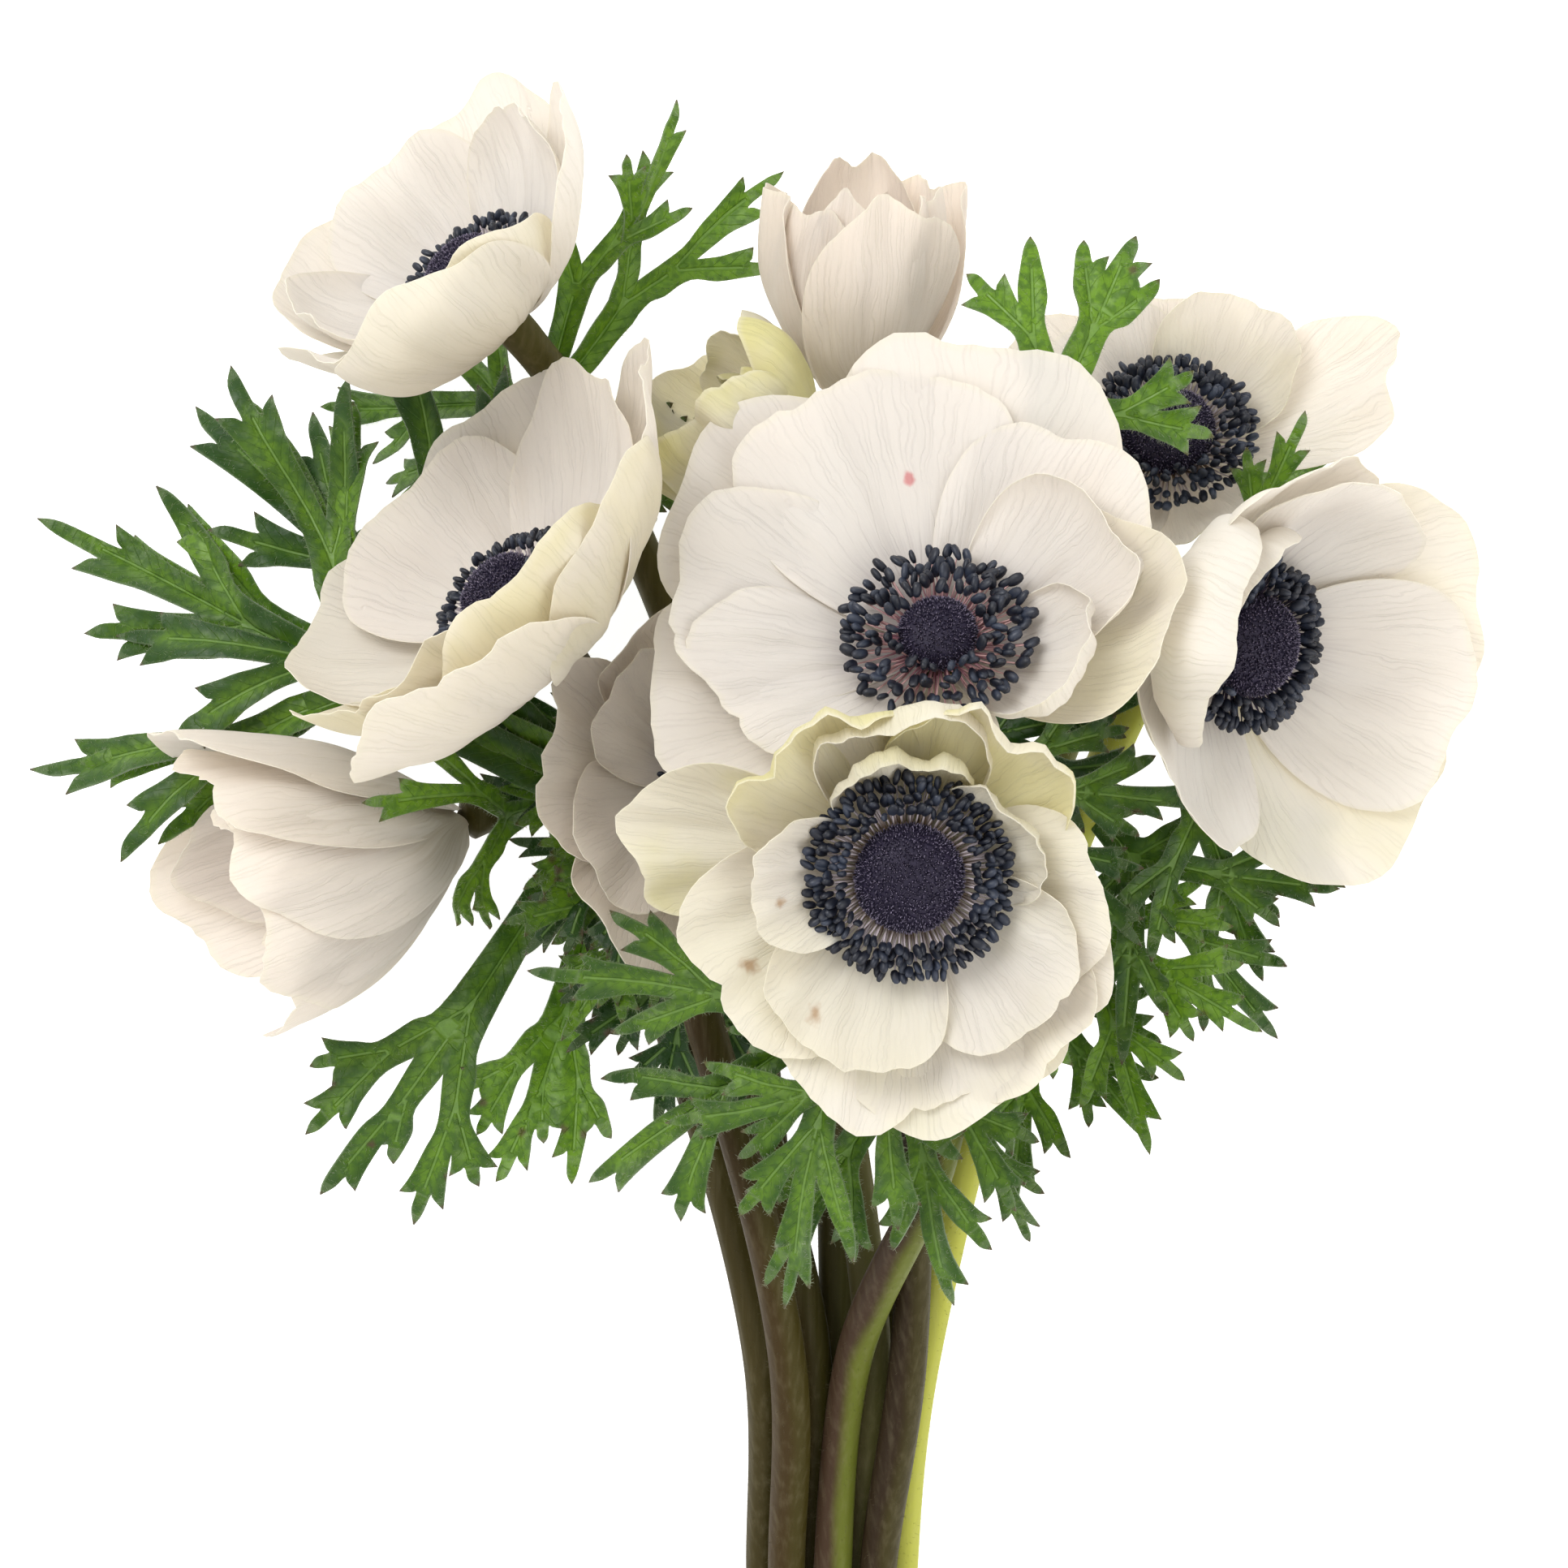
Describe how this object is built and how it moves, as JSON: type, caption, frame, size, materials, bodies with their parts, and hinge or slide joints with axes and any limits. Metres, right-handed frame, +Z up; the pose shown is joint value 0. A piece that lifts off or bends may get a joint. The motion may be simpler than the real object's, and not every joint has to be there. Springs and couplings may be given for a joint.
{
  "type": "anemone bouquet",
  "caption": "Hand-tied bunch of white anemone flowers with dark eyes, cut leafy stalks and a rubber band, lying on its back.",
  "frame": {"origin": "middle of the bunch's box, on the surface it lies on", "axes": "+X to the right of the bunch, +Y from the cut ends of the stalks to the blooms, +Z up from the surface"},
  "size_m": [0.2516, 0.3732, 0.1204],
  "materials": {
    "petals": "thin creamy white petals, satin, light shows through",
    "eye": "blue-black stamens and dome, finely bristled",
    "stalk": "fresh green leaf and olive to purple-brown stalk, softly hairy",
    "band": "plain tan rubber, dull"
  },
  "bodies": {
    "root": {"front_petals": "petals", "front_eye": "eye", "front_stalk": "stalk", "crown_petals": "petals", "crown_eye": "eye", "crown_stalk": "stalk", "right_petals": "petals", "right_eye": "eye", "right_stalk": "stalk", "high_left_petals": "petals", "high_left_eye": "eye", "high_left_stalk": "stalk", "mid_left_petals": "petals", "mid_left_eye": "eye", "mid_left_stalk": "stalk", "low_left_petals": "petals", "low_left_eye": "eye", "low_left_stalk": "stalk", "hidden_left_petals": "petals", "hidden_left_eye": "eye", "hidden_left_stalk": "stalk", "high_right_petals": "petals", "high_right_eye": "eye", "high_right_stalk": "stalk", "bud_petals": "petals", "bud_eye": "eye", "bud_stalk": "stalk", "behind_top_petals": "petals", "behind_top_eye": "eye", "behind_top_stalk": "stalk", "rubber_band": "band"}
  },
  "joints": []
}
